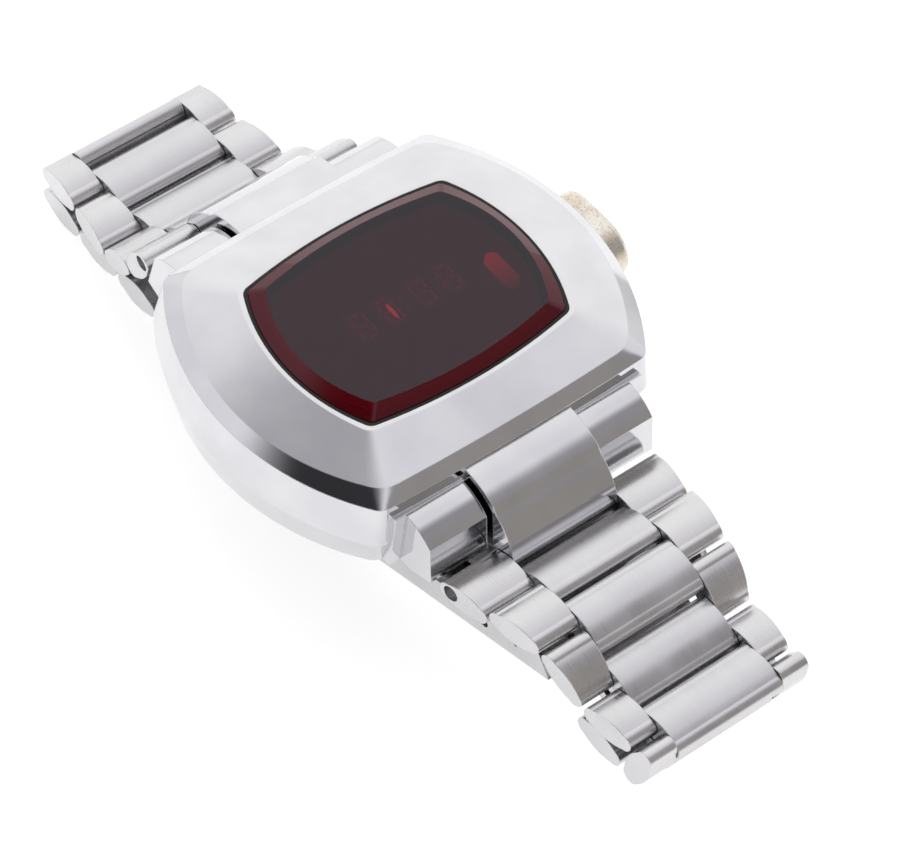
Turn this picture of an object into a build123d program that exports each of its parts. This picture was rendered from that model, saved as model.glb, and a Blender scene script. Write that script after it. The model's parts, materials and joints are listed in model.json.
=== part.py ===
"""LED wrist watch with a cushion case and a folded link bracelet.

Frame: origin at the middle of the crystal's flat top face, +Z out of the dial, +Y towards the
12 side lug, +X towards the push button. All lengths are millimetres, all angles are degrees.
The bracelet lies closed and folded flat under the watch, as it does when it is put down.
"""
import os
from math import cos, radians, sin

from build123d import *

os.makedirs("parts", exist_ok=True)

# Driving sizes of the case
case_corner_x = 15.4
case_corner_y = 16.2
case_side_bow = 5.8
case_end_bow = 0.35
case_corner_radius = 1.6
bezel_corner_radius = 3.6
case_flare = 0.5
case_foot_inset = 0.35
bevel_inset = 1.25
shoulder_z = -3.25
bevel_z = -2.3
waist_z = -7.8
case_bottom_z = -11.4
bezel_top_z = -0.85
bezel_lip = 0.45
overrun = 1.0

# Driving sizes of the crystal and its seat
crystal_corner_x = 11.3
crystal_corner_y = 9.1
crystal_side_bow = 2.45
crystal_end_bow = 1.1
crystal_corner_radius = 0.8
crystal_bevel_inset = 1.15
crystal_bevel_drop = 0.75
crystal_thickness = 2.2
gasket_wall = 0.3
fit_gap = 0.03
seat_ledge = 1.5
seat_depth = 0.7

# Driving sizes of the movement space and what fills it
cavity_x = 31.0
cavity_y = 25.0
cavity_radius = 3.0
module_gap = 0.2
board_x = 25.4
board_y = 16.0
board_thickness = 0.6
board_top_z = -3.75
digit_x = 2.0
digit_y = 3.4
digit_height = 0.3
digit_pitch = 3.1
digit_row_x = 0.8
digit_row_y = 0.9
colon_gap = 1.9
colon_dot = 0.35
colon_spread = 1.2
sensor_width = 1.5
sensor_length = 4.4
sensor_height = 0.6
sensor_x = 10.4
sensor_y = -1.3
chip_side = 6.0
chip_height = 1.0
chip_y = -7.6
can_radius = 0.9
can_length = 6.0
can_y = 7.9
cell_radius = 5.8
cell_height = 5.0
cell_x = 6.3
cell_gap = 0.1
cell_bottom_z = -11.05
leaf_length = 8.0
leaf_width = 2.4
leaf_thickness = 0.2

# Driving sizes of the back
back_thickness = 1.3
back_inset = 0.9
back_chamfer = 0.35
hatch_length = 26.6
hatch_width = 14.6
hatch_thickness = 0.85
hatch_gap = 0.1
hatch_land = 0.4
seal_width = 0.5
seal_height = 0.4
seal_offset = 0.2
screw_x = 16.9
screw_y = 6.0
screw_head_radius = 1.0
screw_head_height = 0.6
screw_shank_radius = 0.5
screw_length = 2.4
hatch_screw_inset = 1.7
hatch_screw_length = 1.5
slot_width = 0.3
slot_depth = 0.3
recess_length = 7.0
recess_width = 2.2
recess_depth = 0.5
recess_y = 10.4

# Driving sizes of the push button
button_z = -7.2
button_half_length = 4.9
button_half_height = 3.1
button_round = 0.7
button_seat_x = 21.2
button_height = 2.55
button_travel = 0.9
button_well = 1.3
button_well_gap = 0.15
stem_radius = 0.9
stem_gap = 0.05
stem_tip_x = 14.6
ring_wire = 0.22
ring_x = 17.4
clip_radius = 1.5
clip_thickness = 0.3
clip_groove = 0.25
clip_mouth = 0.9
spring_wire = 0.24
spring_radius = 1.75
spring_turns = 2.0
relief_depth = 2.4
relief_height = 4.6
switch_thickness = 0.2
switch_width = 2.4
switch_height = 3.4
switch_gap = 0.2

# Driving sizes of the bracelet links
half_pitch = 3.05
link_end_gap = 0.35
link_end_radius = 0.95
centre_half_width = 6.15
side_gap = 0.06
lug_half_width = 12.6
strap_half_width = 9.3
taper_length = 20.0
pin_radius = 0.5
pin_gap = 0.03
pin_seat = 1.7
pin_end_gap = 0.1

# Driving sizes of the lugs
lug_pin_y = 23.1
lug_pin_z = -10.2
lug_root_y = 14.0
lug_top_z = -5.4
lug_crest_y = 18.4
lug_crest_rise = 0.35
lug_nose_y = 20.4
lug_nose_z = -6.2
lug_chin_y = 21.1
lug_chin_z = -10.3
lug_flare = 0.5
lug_split = 0.35
rail_half_width = 14.4
rail_y = 16.95
rail_top_z = -4.5
rail_round = 0.3
mid_top_z = -3.9
mid_ridge_y = 20.6
mid_ridge_z = -4.7
mid_step_y = 21.2
mid_step_z = -5.5
mid_brow_y = 23.5
mid_brow_z = -7.6
bar_radius = 0.8
bar_recess = 1.1

# How each hinge line turns, from the lug round the fold, in degrees from straight out
twelve_side_turns = (-58, -44, -40, -16, 0, 0, -4, -96, -170) + (-180,) * 12
six_side_turns = (6, 21, 4, -12, -38, -14, 6, 0, -108, -171, -181)

# Driving sizes of the fold-over clasp
clasp_slope = 19.3
clasp_foot_gap = 6.6
clasp_tongue_reach = 4.17
clasp_overhang = 0.6
clasp_plate = 0.6
clasp_wall = 0.7
clasp_wall_height = 2.7
clasp_end_slant = 1.0
clasp_tongue_thickness = 1.1
inner_blade_level = 2.6
inner_blade_reach = 3.0
inner_blade_thickness = 0.7
middle_blade_level = 0.95
middle_blade_thickness = 0.7
middle_blade_half_width = 3.4
inner_blade_half_width = 6.15
knuckle_radius = 0.7
knuckle_gap = 0.1
clasp_pin_radius = 0.4
cover_hinge_u = 2.4
blade_hinge_inset = 8.9
hinge_level = 1.6
catch_hole_radius = 0.55
detent_pitch = 4.5
detent_radius = 0.25
magnet_length = 9.0
magnet_width = 2.4
magnet_height = 1.2

# Sizes worked out from the driving ones
link_thickness = half_pitch - link_end_gap
link_half_thickness = link_thickness / 2
link_length = half_pitch + link_thickness
outer_inner_face = centre_half_width + side_gap
hole_radius = pin_radius + pin_gap
crystal_seat_z = -crystal_thickness
ledge_bottom_z = crystal_seat_z - seat_depth
board_bottom_z = board_top_z - board_thickness
back_bottom_z = case_bottom_z - back_thickness
hatch_floor_z = case_bottom_z - hatch_land
module_bottom_z = cell_bottom_z
well_floor_x = button_seat_x - button_well
hatch_screw_y = hatch_width / 2 - hatch_screw_inset
clasp_half_width = strap_half_width + clasp_overhang


def tv_outline(corner_x, corner_y, side_bow, end_bow, radius):
    """Four bowed sides with rounded corners, in the open sketch."""
    with BuildLine() as outline:
        ThreePointArc((corner_x, -corner_y), (corner_x + side_bow, 0), (corner_x, corner_y))
        ThreePointArc((corner_x, corner_y), (0, corner_y + end_bow), (-corner_x, corner_y))
        ThreePointArc((-corner_x, corner_y), (-corner_x - side_bow, 0), (-corner_x, -corner_y))
        ThreePointArc((-corner_x, -corner_y), (0, -corner_y - end_bow), (corner_x, -corner_y))
    face = make_face(outline.edges())
    fillet(face.vertices(), radius)


def case_outline(grow, radius=case_corner_radius):
    """The case's outline, grown or shrunk all round."""
    tv_outline(case_corner_x + grow, case_corner_y + grow, case_side_bow, case_end_bow, radius)


def crystal_outline(grow):
    """The crystal's outline, grown or shrunk all round."""
    tv_outline(crystal_corner_x + grow, crystal_corner_y + grow, crystal_side_bow,
               crystal_end_bow, crystal_corner_radius + max(grow, 0))


def case_layer(low_z, low_grow, high_z, high_grow, high_radius=case_corner_radius):
    """One ruled band of the case between two outlines, in the open part."""
    with BuildSketch(Plane.XY.offset(low_z)) as low:
        case_outline(low_grow)
    with BuildSketch(Plane.XY.offset(high_z)) as high:
        case_outline(high_grow, high_radius)
    loft([low.sketch, high.sketch], ruled=True)


def side_lug_profile(way):
    """Section of a lug's outer segment; way is +1 on the 12 side and -1 on the 6 side."""
    with BuildLine() as outline:
        ThreePointArc((way * lug_root_y, lug_top_z),
                      (way * lug_crest_y, lug_top_z + lug_crest_rise),
                      (way * lug_nose_y, lug_nose_z))
        Line((way * lug_nose_y, lug_nose_z), (way * lug_chin_y, lug_chin_z))
        Polyline((way * lug_chin_y, lug_chin_z), (way * lug_crest_y, case_bottom_z),
                 (way * lug_root_y, case_bottom_z), (way * lug_root_y, lug_top_z))
    make_face(outline.edges())


def middle_lug_profile(way):
    """Section of a lug's middle segment, which ends round the spring bar."""
    nose_y = lug_pin_y + link_half_thickness
    with BuildLine() as outline:
        ThreePointArc((way * lug_root_y, mid_top_z), (way * lug_crest_y, mid_top_z),
                      (way * mid_ridge_y, mid_ridge_z))
        Line((way * mid_ridge_y, mid_ridge_z), (way * mid_step_y, mid_step_z))
        ThreePointArc((way * mid_step_y, mid_step_z), (way * mid_brow_y, mid_brow_z),
                      (way * nose_y, lug_pin_z))
        ThreePointArc((way * nose_y, lug_pin_z),
                      (way * (lug_pin_y + link_half_thickness * cos(radians(45))),
                       lug_pin_z - link_half_thickness * sin(radians(45))),
                      (way * lug_pin_y, lug_pin_z - link_half_thickness))
        Polyline((way * lug_pin_y, lug_pin_z - link_half_thickness), (way * lug_crest_y, case_bottom_z),
                 (way * lug_root_y, case_bottom_z), (way * lug_root_y, mid_top_z))
    make_face(outline.edges())


# Case shell with its two stepped lugs
with BuildPart() as case_shell:
    case_layer(case_bottom_z, -case_foot_inset, waist_z, case_flare)
    case_layer(waist_z, case_flare, shoulder_z, 0)
    case_layer(shoulder_z, 0, bevel_z, -bevel_inset, bezel_corner_radius)
    with BuildSketch(Plane.XY.offset(bevel_z)):
        case_outline(-bevel_inset, bezel_corner_radius)
    with BuildSketch(Plane.XY.offset(bezel_top_z)):
        crystal_outline(gasket_wall + bezel_lip)
    loft(ruled=True)
    for way in (1, -1):
        for hand in (1, -1):
            with BuildSketch(Plane.YZ.offset(hand * (centre_half_width + lug_split))):
                side_lug_profile(way)
            extrude(amount=hand * (lug_half_width + lug_flare - centre_half_width - lug_split))
        with BuildSketch(Plane.YZ):
            middle_lug_profile(way)
        extrude(amount=centre_half_width, both=True)
        with BuildSketch(Plane.YZ) as rail_side:
            with Locations((way * lug_root_y, case_bottom_z)):
                Rectangle(rail_y - lug_root_y, rail_top_z - case_bottom_z,
                          align=(Align.MIN if way > 0 else Align.MAX, Align.MIN))
            fillet(rail_side.vertices().group_by(Axis.Y)[-1 if way > 0 else 0].sort_by(Axis.Y), rail_round)
        extrude(amount=rail_half_width, both=True)
    with BuildSketch(Plane.XY.offset(crystal_seat_z)):
        crystal_outline(gasket_wall + fit_gap)
    extrude(amount=crystal_thickness + overrun, mode=Mode.SUBTRACT)
    with BuildSketch(Plane.XY.offset(ledge_bottom_z - overrun)):
        crystal_outline(-seat_ledge)
    extrude(amount=seat_depth + 2 * overrun, mode=Mode.SUBTRACT)
    with BuildSketch(Plane.XY.offset(ledge_bottom_z)):
        RectangleRounded(cavity_x, cavity_y, cavity_radius)
    extrude(amount=-(ledge_bottom_z - case_bottom_z) - overrun, mode=Mode.SUBTRACT)
    with BuildSketch(Plane.YZ.offset(well_floor_x)):
        with Locations((0, button_z)):
            SlotOverall(2 * (button_half_length + button_well_gap),
                        2 * (button_half_height + button_well_gap))
    extrude(amount=button_well + case_flare + overrun, mode=Mode.SUBTRACT)
    with BuildSketch(Plane.YZ):
        with Locations((0, button_z)):
            Circle(stem_radius + stem_gap)
    extrude(amount=button_seat_x, mode=Mode.SUBTRACT)
    with BuildSketch(Plane.YZ.offset(ring_x - ring_wire)):
        with Locations((0, button_z)):
            Circle(stem_radius + 2 * ring_wire + fit_gap)
    extrude(amount=2 * ring_wire, mode=Mode.SUBTRACT)
    with BuildSketch(Plane.YZ):
        with Locations((lug_pin_y, lug_pin_z), (-lug_pin_y, lug_pin_z)):
            Circle(bar_radius + fit_gap)
    extrude(amount=centre_half_width + overrun, both=True, mode=Mode.SUBTRACT)
    with BuildSketch(Plane.XY.offset(case_bottom_z)):
        with Locations((screw_x, screw_y), (screw_x, -screw_y), (-screw_x, screw_y), (-screw_x, -screw_y)):
            Circle(screw_shank_radius + fit_gap)
    extrude(amount=screw_length, mode=Mode.SUBTRACT)
case_shell.part.label = "case_shell"
export_step(case_shell.part, "parts/case_shell.step")

# Crystal gasket, the thin dark line round the crystal
with BuildPart() as crystal_gasket:
    with BuildSketch(Plane.XY.offset(crystal_seat_z)):
        crystal_outline(gasket_wall)
    extrude(amount=-crystal_seat_z + bezel_top_z)
    with BuildSketch(Plane.XY.offset(crystal_seat_z - overrun)):
        crystal_outline(fit_gap)
    extrude(amount=crystal_thickness + 2 * overrun, mode=Mode.SUBTRACT)
crystal_gasket.part.label = "crystal_gasket"
export_step(crystal_gasket.part, "parts/crystal_gasket.step")

# Dark red filter crystal with its wide ground bevel
with BuildPart() as filter_crystal:
    with BuildSketch(Plane.XY.offset(crystal_seat_z)):
        crystal_outline(0)
    extrude(amount=crystal_thickness - crystal_bevel_drop)
    with BuildSketch(Plane.XY.offset(-crystal_bevel_drop)):
        crystal_outline(0)
    with BuildSketch(Plane.XY):
        tv_outline(crystal_corner_x - crystal_bevel_inset, crystal_corner_y - crystal_bevel_inset,
                   crystal_side_bow, crystal_end_bow, crystal_corner_radius)
    loft(ruled=True)
filter_crystal.part.label = "filter_crystal"
export_step(filter_crystal.part, "parts/filter_crystal.step")

# Display board and what is bonded on it
with BuildPart() as display_board:
    with BuildSketch(Plane.XY.offset(board_bottom_z)):
        RectangleRounded(board_x, board_y, cavity_radius)
    extrude(amount=board_thickness)
display_board.part.label = "display_board"
export_step(display_board.part, "parts/display_board.step")

with BuildPart() as led_digits:
    with BuildSketch(Plane.XY.offset(board_top_z)):
        for side in (-1, 1):
            for place in (0, 1):
                digit_centre = digit_row_x + side * (colon_gap + place * digit_pitch)
                with Locations((digit_centre, digit_row_y)):
                    Rectangle(digit_x, digit_y)
            with Locations((digit_row_x, digit_row_y + side * colon_spread / 2)):
                Circle(colon_dot)
    extrude(amount=digit_height)
led_digits.part.label = "led_digits"
export_step(led_digits.part, "parts/led_digits.step")

with BuildPart() as light_sensor:
    with BuildSketch(Plane.XY.offset(board_top_z)):
        with Locations((sensor_x, sensor_y)):
            SlotOverall(sensor_length, sensor_width, rotation=90)
    extrude(amount=sensor_height)
light_sensor.part.label = "light_sensor"
export_step(light_sensor.part, "parts/light_sensor.step")

# Moulded module that carries the board, the chip, the crystal can and the two cells
with BuildPart() as module_block:
    with BuildSketch(Plane.XY.offset(module_bottom_z)):
        RectangleRounded(cavity_x - 2 * module_gap, cavity_y - 2 * module_gap, cavity_radius)
    extrude(amount=board_bottom_z - module_bottom_z)
    with BuildSketch(Plane.XY.offset(module_bottom_z)):
        with Locations((cell_x, 0), (-cell_x, 0)):
            Circle(cell_radius + cell_gap)
    extrude(amount=cell_height + fit_gap, mode=Mode.SUBTRACT)
    with BuildSketch(Plane.XY.offset(board_bottom_z)):
        with Locations((0, chip_y)):
            Rectangle(chip_side + 2 * fit_gap, chip_side + 2 * fit_gap)
        with Locations((0, can_y)):
            Rectangle(can_length + 2 * fit_gap, 2 * (can_radius + fit_gap))
    extrude(amount=-chip_height - 2 * can_radius, mode=Mode.SUBTRACT)
    with BuildSketch(Plane.YZ.offset(cavity_x / 2 - relief_depth)):
        with Locations((0, button_z)):
            Rectangle(relief_height, relief_height)
    extrude(amount=relief_depth, mode=Mode.SUBTRACT)
    with BuildSketch(Plane.XY.offset(module_bottom_z)):
        with Locations((0, hatch_screw_y), (0, -hatch_screw_y)):
            Circle(screw_shank_radius + fit_gap)
    extrude(amount=hatch_screw_length, mode=Mode.SUBTRACT)
module_block.part.label = "module_block"
export_step(module_block.part, "parts/module_block.step")

with BuildPart() as timing_chip:
    with BuildSketch(Plane.XY.offset(board_bottom_z)):
        with Locations((0, chip_y)):
            Rectangle(chip_side, chip_side)
    extrude(amount=-chip_height)
timing_chip.part.label = "timing_chip"
export_step(timing_chip.part, "parts/timing_chip.step")

with BuildPart() as quartz_can:
    with BuildSketch(Plane.YZ.offset(-can_length / 2)):
        with Locations((can_y, board_bottom_z - can_radius)):
            Circle(can_radius)
    extrude(amount=can_length)
quartz_can.part.label = "quartz_can"
export_step(quartz_can.part, "parts/quartz_can.step")

with BuildPart() as power_cells:
    with BuildSketch(Plane.XY.offset(cell_bottom_z)):
        with Locations((cell_x, 0), (-cell_x, 0)):
            Circle(cell_radius)
    extrude(amount=cell_height)
power_cells.part.label = "power_cells"
export_step(power_cells.part, "parts/power_cells.step")

# Contact leaves between the cells and the hatch, bowed up to press on each cell
with BuildPart() as cell_contacts:
    leaf_base_z = hatch_floor_z + fit_gap
    leaf_top_z = cell_bottom_z - fit_gap - leaf_thickness
    for side in (-1, 1):
        with BuildSketch(Plane.YZ.offset(side * cell_x - leaf_width / 2)):
            with BuildLine():
                ThreePointArc((-leaf_length / 2, leaf_base_z), (0, leaf_top_z),
                              (leaf_length / 2, leaf_base_z))
                Line((leaf_length / 2, leaf_base_z), (leaf_length / 2, leaf_base_z + leaf_thickness))
                ThreePointArc((leaf_length / 2, leaf_base_z + leaf_thickness),
                              (0, leaf_top_z + leaf_thickness),
                              (-leaf_length / 2, leaf_base_z + leaf_thickness))
                Line((-leaf_length / 2, leaf_base_z + leaf_thickness), (-leaf_length / 2, leaf_base_z))
            make_face()
        extrude(amount=leaf_width)
cell_contacts.part.label = "cell_contacts"
export_step(cell_contacts.part, "parts/cell_contacts.step")

# Back cover with the hatch seat, the seal groove and the two setting recesses
with BuildPart() as case_back:
    with BuildSketch(Plane.XY.offset(case_bottom_z)):
        case_outline(-case_foot_inset - back_inset)
    extrude(amount=-back_thickness)
    chamfer(case_back.faces().sort_by(Axis.Z)[0].outer_wire().edges(), back_chamfer)
    with BuildSketch(Plane.XY.offset(back_bottom_z)):
        RectangleRounded(hatch_length + 2 * hatch_gap, hatch_width + 2 * hatch_gap, hatch_width / 2)
    extrude(amount=back_thickness - hatch_land, mode=Mode.SUBTRACT)
    with BuildSketch(Plane.XY.offset(case_bottom_z)):
        with Locations((cell_x, 0), (-cell_x, 0)):
            Circle(cell_radius + cell_gap)
    extrude(amount=-back_thickness, mode=Mode.SUBTRACT)
    with BuildSketch(Plane.XY.offset(case_bottom_z)):
        RectangleRounded(cavity_x + 2 * (seal_offset + seal_width), cavity_y + 2 * (seal_offset + seal_width),
                         cavity_radius + seal_width)
        RectangleRounded(cavity_x + 2 * seal_offset, cavity_y + 2 * seal_offset, cavity_radius,
                         mode=Mode.SUBTRACT)
    extrude(amount=-seal_height, mode=Mode.SUBTRACT)
    with BuildSketch(Plane.XY.offset(back_bottom_z)):
        with Locations((0, recess_y), (0, -recess_y)):
            SlotOverall(recess_length, recess_width)
    extrude(amount=recess_depth, mode=Mode.SUBTRACT)
    with BuildSketch(Plane.XY.offset(back_bottom_z)):
        with Locations((screw_x, screw_y), (screw_x, -screw_y), (-screw_x, screw_y), (-screw_x, -screw_y)):
            Circle(screw_head_radius + fit_gap)
    extrude(amount=screw_head_height, mode=Mode.SUBTRACT)
    with BuildSketch(Plane.XY.offset(back_bottom_z)):
        with Locations((screw_x, screw_y), (screw_x, -screw_y), (-screw_x, screw_y), (-screw_x, -screw_y),
                       (0, hatch_screw_y), (0, -hatch_screw_y)):
            Circle(screw_shank_radius + fit_gap)
    extrude(amount=back_thickness, mode=Mode.SUBTRACT)
case_back.part.label = "case_back"
export_step(case_back.part, "parts/case_back.step")

with BuildPart() as back_seal:
    with BuildSketch(Plane.XY.offset(case_bottom_z)):
        RectangleRounded(cavity_x + 2 * (seal_offset + seal_width), cavity_y + 2 * (seal_offset + seal_width),
                         cavity_radius + seal_width)
        RectangleRounded(cavity_x + 2 * seal_offset, cavity_y + 2 * seal_offset, cavity_radius,
                         mode=Mode.SUBTRACT)
    extrude(amount=-seal_height)
back_seal.part.label = "back_seal"
export_step(back_seal.part, "parts/back_seal.step")

with BuildPart() as back_screws:
    with BuildSketch(Plane.XY.offset(back_bottom_z)):
        with Locations((screw_x, screw_y), (screw_x, -screw_y), (-screw_x, screw_y), (-screw_x, -screw_y)):
            Circle(screw_head_radius)
    extrude(amount=screw_head_height)
    with BuildSketch(Plane.XY.offset(back_bottom_z)):
        with Locations((screw_x, screw_y), (screw_x, -screw_y), (-screw_x, screw_y), (-screw_x, -screw_y)):
            Circle(screw_shank_radius)
    extrude(amount=screw_length)
    with BuildSketch(Plane.XY.offset(back_bottom_z)):
        with Locations((screw_x, screw_y), (screw_x, -screw_y), (-screw_x, screw_y), (-screw_x, -screw_y)):
            Rectangle(2 * screw_head_radius + overrun, slot_width)
    extrude(amount=slot_depth, mode=Mode.SUBTRACT)
back_screws.part.label = "back_screws"
export_step(back_screws.part, "parts/back_screws.step")

with BuildPart() as battery_hatch:
    with BuildSketch(Plane.XY.offset(hatch_floor_z - hatch_thickness)):
        RectangleRounded(hatch_length, hatch_width, hatch_width / 2 - hatch_gap)
    extrude(amount=hatch_thickness)
    with BuildSketch(Plane.XY.offset(hatch_floor_z - hatch_thickness)):
        with Locations((0, hatch_screw_y), (0, -hatch_screw_y)):
            Circle(screw_head_radius + fit_gap)
    extrude(amount=screw_head_height, mode=Mode.SUBTRACT)
    with BuildSketch(Plane.XY.offset(hatch_floor_z - hatch_thickness)):
        with Locations((0, hatch_screw_y), (0, -hatch_screw_y)):
            Circle(screw_shank_radius + fit_gap)
    extrude(amount=hatch_thickness, mode=Mode.SUBTRACT)
battery_hatch.part.label = "battery_hatch"
export_step(battery_hatch.part, "parts/battery_hatch.step")

with BuildPart() as hatch_screws:
    with BuildSketch(Plane.XY.offset(hatch_floor_z - hatch_thickness)):
        with Locations((0, hatch_screw_y), (0, -hatch_screw_y)):
            Circle(screw_head_radius)
    extrude(amount=screw_head_height)
    with BuildSketch(Plane.XY.offset(hatch_floor_z - hatch_thickness)):
        with Locations((0, hatch_screw_y), (0, -hatch_screw_y)):
            Circle(screw_shank_radius)
    extrude(amount=hatch_screw_length + hatch_thickness)
    with BuildSketch(Plane.XY.offset(hatch_floor_z - hatch_thickness)):
        with Locations((0, hatch_screw_y), (0, -hatch_screw_y)):
            Rectangle(2 * screw_head_radius + overrun, slot_width)
    extrude(amount=slot_depth, mode=Mode.SUBTRACT)
hatch_screws.part.label = "hatch_screws"
export_step(hatch_screws.part, "parts/hatch_screws.step")

# Push button, its seal, clip, spring and the switch leaf that it presses
with BuildPart() as push_button:
    with BuildSketch(Plane.YZ.offset(button_seat_x)):
        with Locations((0, button_z)):
            SlotOverall(2 * button_half_length, 2 * button_half_height)
    extrude(amount=button_height)
    fillet(push_button.faces().sort_by(Axis.X)[-1].edges(), button_round)
    with BuildSketch(Plane.YZ.offset(stem_tip_x)):
        with Locations((0, button_z)):
            Circle(stem_radius)
    extrude(amount=button_seat_x - stem_tip_x)
    with BuildSketch(Plane.YZ.offset(cavity_x / 2 - clip_thickness - fit_gap)):
        with Locations((0, button_z)):
            Circle(stem_radius + overrun)
            Circle(stem_radius - clip_groove, mode=Mode.SUBTRACT)
    extrude(amount=clip_thickness, mode=Mode.SUBTRACT)
push_button.part.label = "push_button"
export_step(push_button.part, "parts/push_button.step")

with BuildPart() as button_clip:
    with BuildSketch(Plane.YZ.offset(cavity_x / 2 - clip_thickness - fit_gap)):
        with Locations((0, button_z)):
            Circle(clip_radius)
            Circle(stem_radius - clip_groove + fit_gap, mode=Mode.SUBTRACT)
        with Locations((0, button_z - clip_radius)):
            Rectangle(clip_mouth, 2 * clip_radius, mode=Mode.SUBTRACT)
    extrude(amount=clip_thickness)
button_clip.part.label = "button_clip"
export_step(button_clip.part, "parts/button_clip.step")

with BuildPart() as button_seal:
    with BuildSketch(Plane.XZ):
        with Locations((ring_x, button_z + stem_radius + ring_wire + fit_gap / 2)):
            Rectangle(2 * ring_wire - fit_gap, 2 * ring_wire - fit_gap)
    revolve(axis=Axis((0, 0, button_z), (1, 0, 0)))
button_seal.part.label = "button_seal"
export_step(button_seal.part, "parts/button_seal.step")

spring_height = button_well - spring_wire - 2 * fit_gap
with BuildPart() as button_spring:
    with BuildLine() as coil:
        Helix(pitch=spring_height / spring_turns, height=spring_height, radius=spring_radius,
              center=(well_floor_x + spring_wire / 2 + fit_gap, 0, button_z), direction=(1, 0, 0))
    with BuildSketch(Plane(origin=coil.line @ 0, z_dir=coil.line % 0)):
        Rectangle(spring_wire, spring_wire)
    sweep(path=coil.line, is_frenet=True)
button_spring.part.label = "button_spring"
export_step(button_spring.part, "parts/button_spring.step")

with BuildPart() as switch_leaf:
    leaf_face_x = stem_tip_x - button_travel - switch_gap
    with BuildSketch(Plane.YZ.offset(leaf_face_x - switch_thickness)):
        with Locations((0, button_z)):
            Rectangle(switch_width, switch_height)
    extrude(amount=switch_thickness)
    with BuildSketch(Plane.XY.offset(button_z - switch_height / 2)):
        with Locations(((leaf_face_x + cavity_x / 2 - relief_depth) / 2, 0)):
            Rectangle(leaf_face_x - cavity_x / 2 + relief_depth, switch_width)
    extrude(amount=switch_thickness)
switch_leaf.part.label = "switch_leaf"
export_step(switch_leaf.part, "parts/switch_leaf.step")


def hinge_lines(way, turns):
    """Hinge points (y, z) from the lug outwards, half a pitch apart."""
    points = [(way * lug_pin_y, lug_pin_z)]
    for turn in turns:
        y, z = points[-1]
        points.append((y + way * half_pitch * cos(radians(turn)), z + half_pitch * sin(radians(turn))))
    return points


def link_plane(start, end):
    """Plane of a link's section: x runs from its first hinge to its second."""
    middle = (0, (start[0] + end[0]) / 2, (start[1] + end[1]) / 2)
    return Plane(origin=middle, x_dir=(0, end[0] - start[0], end[1] - start[1]), z_dir=(1, 0, 0))


def link_profile():
    """Crowned oval section of every link, in the open sketch."""
    shoulder = link_length / 2 - link_end_radius
    with BuildLine() as outline:
        ThreePointArc((-shoulder, link_end_radius), (0, link_half_thickness), (shoulder, link_end_radius))
        ThreePointArc((shoulder, link_end_radius), (link_length / 2, 0), (shoulder, -link_end_radius))
        ThreePointArc((shoulder, -link_end_radius), (0, -link_half_thickness), (-shoulder, -link_end_radius))
        ThreePointArc((-shoulder, -link_end_radius), (-link_length / 2, 0), (-shoulder, link_end_radius))
    make_face(outline.edges())


def strap_half_at(run):
    """Half width of the bracelet at a run along it from the lug's hinge line."""
    share = min(max(run / taper_length, 0), 1)
    return lug_half_width + share * (strap_half_width - lug_half_width)


def make_centre_link(name, start, end):
    """Wide middle link, drilled for the two pins that it turns on."""
    plane = link_plane(start, end)
    with BuildPart() as link:
        with BuildSketch(plane):
            link_profile()
        extrude(amount=centre_half_width, both=True)
        with BuildSketch(plane):
            with Locations((-half_pitch / 2, 0), (half_pitch / 2, 0)):
                Circle(hole_radius)
        extrude(amount=centre_half_width, both=True, mode=Mode.SUBTRACT)
    link.part.label = name
    export_step(link.part, f"parts/{name}.step")


def make_outer_link(name, start, end, index, first):
    """Pair of side links on their pressed-in pins; the first hinge has a bar, a pin or two stubs."""
    plane = link_plane(start, end)
    plan = Plane(origin=plane.origin, x_dir=plane.x_dir, z_dir=plane.y_dir)
    first_half = strap_half_at(index * half_pitch - link_half_thickness)
    last_half = strap_half_at((index + 1) * half_pitch + link_half_thickness)
    pin_places = [(half_pitch / 2, 0)]
    if first == "pin":
        pin_places.append((-half_pitch / 2, 0))
    with BuildPart() as link:
        with BuildSketch(plan):
            for hand in (1, -1):
                with BuildLine():
                    Polyline((-link_length / 2, hand * outer_inner_face),
                             (-link_length / 2, hand * first_half),
                             (link_length / 2, hand * last_half),
                             (link_length / 2, hand * outer_inner_face), close=True)
                make_face()
        extrude(amount=link_thickness, both=True)
        with BuildSketch(plane):
            link_profile()
        extrude(amount=lug_half_width + overrun, both=True, mode=Mode.INTERSECT)
        if first == "stubs":
            both = ((-half_pitch / 2, 0), (half_pitch / 2, 0))
            for places, radius, reach, mode in (
                    (both, hole_radius, outer_inner_face + pin_seat, Mode.SUBTRACT),
                    (both, pin_radius, outer_inner_face + pin_seat - pin_end_gap, Mode.ADD),
                    (both[:1], hole_radius, outer_inner_face, Mode.SUBTRACT)):
                with BuildSketch(plane):
                    with Locations(*places):
                        Circle(radius)
                extrude(amount=reach, both=True, mode=mode)
        else:
            with BuildSketch(plane):
                with Locations(*pin_places):
                    Circle(pin_radius)
            extrude(amount=outer_inner_face + pin_seat, both=True)
        if first == "bar":
            with BuildSketch(plane):
                with Locations((-half_pitch / 2, 0)):
                    Circle(bar_radius + pin_gap)
            extrude(amount=lug_half_width + overrun, both=True, mode=Mode.SUBTRACT)
    link.part.label = name
    export_step(link.part, f"parts/{name}.step")


def on_clasp(point):
    """A point (y, z) of the watch in the clasp's own side view."""
    local = clasp_side.to_local_coords(Vector(0, point[0], point[1]))
    return (local.X, local.Y)


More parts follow.
